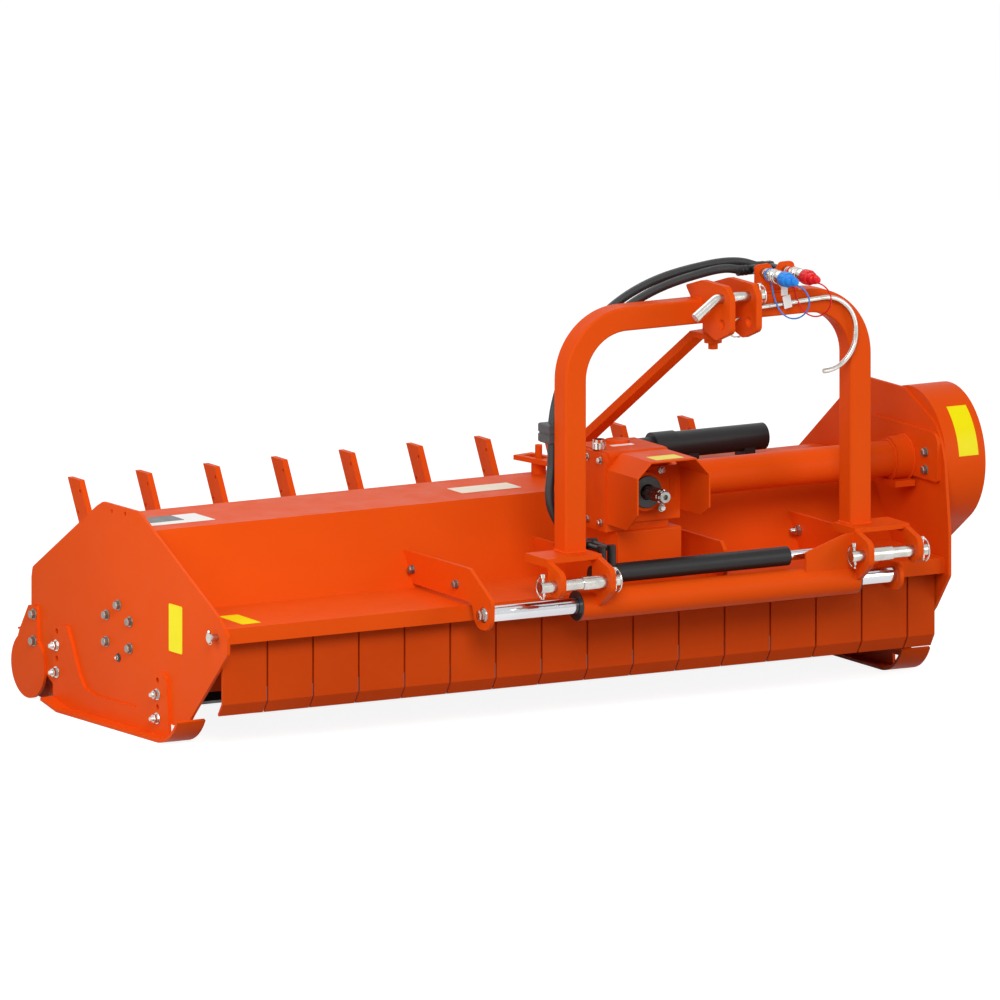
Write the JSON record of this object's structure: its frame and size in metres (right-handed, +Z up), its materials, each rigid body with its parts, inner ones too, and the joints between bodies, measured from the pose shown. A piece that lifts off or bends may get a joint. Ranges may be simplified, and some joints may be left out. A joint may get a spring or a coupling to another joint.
{
  "type": "pasture topper",
  "caption": "Rear-mounted flail mower with a hammer rotor, rear roller, rake tines, swinging front flaps and a sliding three-point headstock",
  "frame": {"origin": "middle of the footprint, on the ground under the skids and the roller", "axes": "+X along the cutting width towards the belt cover, -Y towards the tractor, +Z up"},
  "size_m": [2.208, 1.2531, 1.1159],
  "materials": {
    "orange_paint": "semi-gloss orange powder coat",
    "black_paint": "satin black paint",
    "black_plastic": "matt black moulded plastic",
    "black_rubber": "black hose rubber",
    "bright_chrome": "hard chrome",
    "zinc_steel": "zinc plated",
    "bare_steel": "oiled machined steel"
  },
  "bodies": {
    "deck": {"left_side_plate": "orange_paint", "right_side_plate": "orange_paint", "deck_shell": "orange_paint", "rear_hood": "orange_paint", "front_deflector": "orange_paint", "deck_ribs": "orange_paint", "guide_arms": "orange_paint", "guide_bar": "bright_chrome", "flap_rod": "zinc_steel", "left_skid": "orange_paint", "right_skid": "orange_paint", "left_roller_bracket": "orange_paint", "right_roller_bracket": "orange_paint", "drive_tube": "orange_paint", "belt_cover": "orange_paint", "gearbox": "orange_paint", "gearbox_pedestal": "orange_paint", "pto_shield": "orange_paint", "rake": "orange_paint", "stay_anchor": "orange_paint", "storage_tube": "black_plastic", "shift_rod": "bright_chrome", "deck_fixings": "zinc_steel"},
    "rotor": {"rotor_tube": "orange_paint", "hammers": "black_paint"},
    "roller": {"rear_roller": "orange_paint"},
    "pto": {"pto_shaft": "bare_steel"},
    "headstock": {"hoop_frame": "orange_paint", "slide_tube": "orange_paint", "left_clevis": "orange_paint", "right_clevis": "orange_paint", "link_pins": "zinc_steel", "top_link_pin": "zinc_steel", "top_link_bracket": "orange_paint", "stay_pivot": "zinc_steel", "coupler_bracket": "orange_paint", "couplers": "zinc_steel", "hoses": "black_rubber", "shaft_hook": "bright_chrome", "shift_cylinder": "black_paint"},
    "stay": {"stay_bar": "orange_paint"},
    "flap_01": {"flap_01": "orange_paint"},
    "flap_02": {"flap_02": "orange_paint"},
    "flap_03": {"flap_03": "orange_paint"},
    "flap_04": {"flap_04": "orange_paint"},
    "flap_05": {"flap_05": "orange_paint"},
    "flap_06": {"flap_06": "orange_paint"},
    "flap_07": {"flap_07": "orange_paint"},
    "flap_08": {"flap_08": "orange_paint"},
    "flap_09": {"flap_09": "orange_paint"},
    "flap_10": {"flap_10": "orange_paint"},
    "flap_11": {"flap_11": "orange_paint"},
    "flap_12": {"flap_12": "orange_paint"},
    "flap_13": {"flap_13": "orange_paint"},
    "flap_14": {"flap_14": "orange_paint"},
    "flap_15": {"flap_15": "orange_paint"},
    "flap_16": {"flap_16": "orange_paint"}
  },
  "joints": [
    {"name": "rotor_spin", "type": "hinge", "parent": "deck", "child": "rotor", "pos_m": [-0.034, 0.10842, 0.233], "axis": [1, 0, 0], "continuous": true},
    {"name": "roller_spin", "type": "hinge", "parent": "deck", "child": "roller", "pos_m": [-0.034, 0.54243, 0.08415], "axis": [1, 0, 0], "continuous": true},
    {"name": "pto_spin", "type": "hinge", "parent": "deck", "child": "pto", "pos_m": [0.174, -0.39158, 0.545], "axis": [0, 1, 0], "continuous": true},
    {"name": "side_shift", "type": "slide", "parent": "deck", "child": "headstock", "axis": [1, 0, 0], "range_m": [-0.135, 0.1]},
    {"name": "stay_swing", "type": "hinge", "parent": "headstock", "child": "stay", "pos_m": [0.306, -0.45558, 0.94], "axis": [0, 0, 1], "range_deg": [-12, 9]},
    {"name": "flap_01_swing", "type": "hinge", "parent": "deck", "child": "flap_01", "pos_m": [-0.034, -0.37857, 0.293], "axis": [1, 0, 0], "range_deg": [0, 70]},
    {"name": "flap_02_swing", "type": "hinge", "parent": "deck", "child": "flap_02", "pos_m": [-0.034, -0.37857, 0.293], "axis": [1, 0, 0], "range_deg": [0, 70]},
    {"name": "flap_03_swing", "type": "hinge", "parent": "deck", "child": "flap_03", "pos_m": [-0.034, -0.37857, 0.293], "axis": [1, 0, 0], "range_deg": [0, 70]},
    {"name": "flap_04_swing", "type": "hinge", "parent": "deck", "child": "flap_04", "pos_m": [-0.034, -0.37857, 0.293], "axis": [1, 0, 0], "range_deg": [0, 70]},
    {"name": "flap_05_swing", "type": "hinge", "parent": "deck", "child": "flap_05", "pos_m": [-0.034, -0.37857, 0.293], "axis": [1, 0, 0], "range_deg": [0, 70]},
    {"name": "flap_06_swing", "type": "hinge", "parent": "deck", "child": "flap_06", "pos_m": [-0.034, -0.37857, 0.293], "axis": [1, 0, 0], "range_deg": [0, 70]},
    {"name": "flap_07_swing", "type": "hinge", "parent": "deck", "child": "flap_07", "pos_m": [-0.034, -0.37857, 0.293], "axis": [1, 0, 0], "range_deg": [0, 70]},
    {"name": "flap_08_swing", "type": "hinge", "parent": "deck", "child": "flap_08", "pos_m": [-0.034, -0.37857, 0.293], "axis": [1, 0, 0], "range_deg": [0, 70]},
    {"name": "flap_09_swing", "type": "hinge", "parent": "deck", "child": "flap_09", "pos_m": [-0.034, -0.37857, 0.293], "axis": [1, 0, 0], "range_deg": [0, 70]},
    {"name": "flap_10_swing", "type": "hinge", "parent": "deck", "child": "flap_10", "pos_m": [-0.034, -0.37857, 0.293], "axis": [1, 0, 0], "range_deg": [0, 70]},
    {"name": "flap_11_swing", "type": "hinge", "parent": "deck", "child": "flap_11", "pos_m": [-0.034, -0.37857, 0.293], "axis": [1, 0, 0], "range_deg": [0, 70]},
    {"name": "flap_12_swing", "type": "hinge", "parent": "deck", "child": "flap_12", "pos_m": [-0.034, -0.37857, 0.293], "axis": [1, 0, 0], "range_deg": [0, 70]},
    {"name": "flap_13_swing", "type": "hinge", "parent": "deck", "child": "flap_13", "pos_m": [-0.034, -0.37857, 0.293], "axis": [1, 0, 0], "range_deg": [0, 70]},
    {"name": "flap_14_swing", "type": "hinge", "parent": "deck", "child": "flap_14", "pos_m": [-0.034, -0.37857, 0.293], "axis": [1, 0, 0], "range_deg": [0, 70]},
    {"name": "flap_15_swing", "type": "hinge", "parent": "deck", "child": "flap_15", "pos_m": [-0.034, -0.37857, 0.293], "axis": [1, 0, 0], "range_deg": [0, 70]},
    {"name": "flap_16_swing", "type": "hinge", "parent": "deck", "child": "flap_16", "pos_m": [-0.034, -0.37857, 0.293], "axis": [1, 0, 0], "range_deg": [0, 70]}
  ],
  "couplings": [
    {"joint": "pto_spin", "follows": "rotor_spin", "ratio": 0.26341},
    {"joint": "stay_swing", "follows": "side_shift", "rad_per_m": 1.514}
  ]
}
